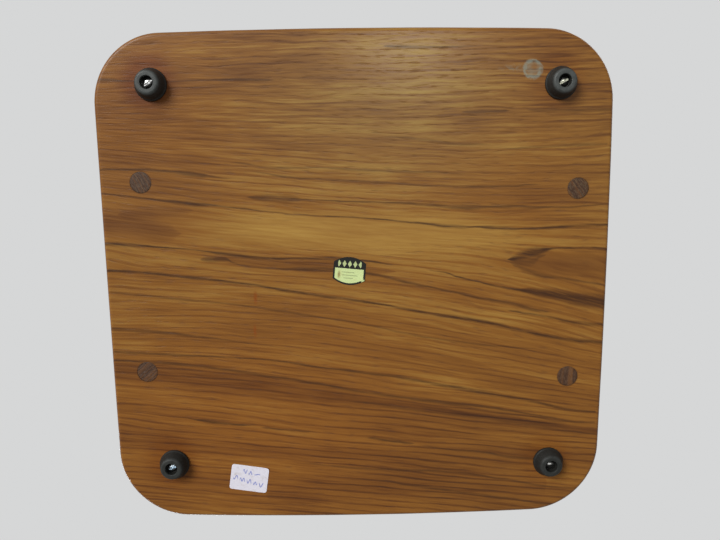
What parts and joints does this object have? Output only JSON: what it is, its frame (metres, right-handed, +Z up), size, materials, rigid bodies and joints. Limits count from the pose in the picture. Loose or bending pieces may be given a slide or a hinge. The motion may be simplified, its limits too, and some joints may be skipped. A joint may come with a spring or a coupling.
{
  "type": "wooden serving tray",
  "caption": "Soft-square solid teak serving tray on rubber feet, with an arched bar handle at each side held by through dowels.",
  "frame": {"origin": "on the surface that the tray stands on, under the middle of the board", "axes": "+Z up from the feet to the handles; +X to the right and +Y to the rear, as the user at the front edge sees them; the handles are at -X and +X, and the board's grain runs along X"},
  "size_m": [0.3084, 0.3045, 0.061],
  "materials": {
    "teak_board": "oiled teak, satin, grain from side to side",
    "teak_handle": "oiled teak, satin, grain along the bar",
    "teak_dowel": "teak end grain, sanded flush",
    "black_rubber": "moulded black rubber, matt",
    "plated_washer": "plated steel, dulled",
    "nickel_screw": "nickel-plated steel, bright",
    "label_paper": "coated paper, pale green field with a black band",
    "sticker_paper": "plain white paper"
  },
  "bodies": {
    "root": {"board": "teak_board", "foot_front_left": "black_rubber", "foot_front_right": "black_rubber", "foot_rear_left": "black_rubber", "foot_rear_right": "black_rubber", "foot_washer_front_left": "plated_washer", "foot_washer_front_right": "plated_washer", "foot_washer_rear_left": "plated_washer", "foot_washer_rear_right": "plated_washer", "foot_screw_front_left": "nickel_screw", "foot_screw_front_right": "nickel_screw", "foot_screw_rear_left": "nickel_screw", "foot_screw_rear_right": "nickel_screw", "handle_left": "teak_handle", "handle_right": "teak_handle", "handle_dowel_left_front": "teak_dowel", "handle_dowel_left_rear": "teak_dowel", "handle_dowel_right_front": "teak_dowel", "handle_dowel_right_rear": "teak_dowel", "makers_label": "label_paper", "price_sticker": "sticker_paper"}
  },
  "joints": []
}
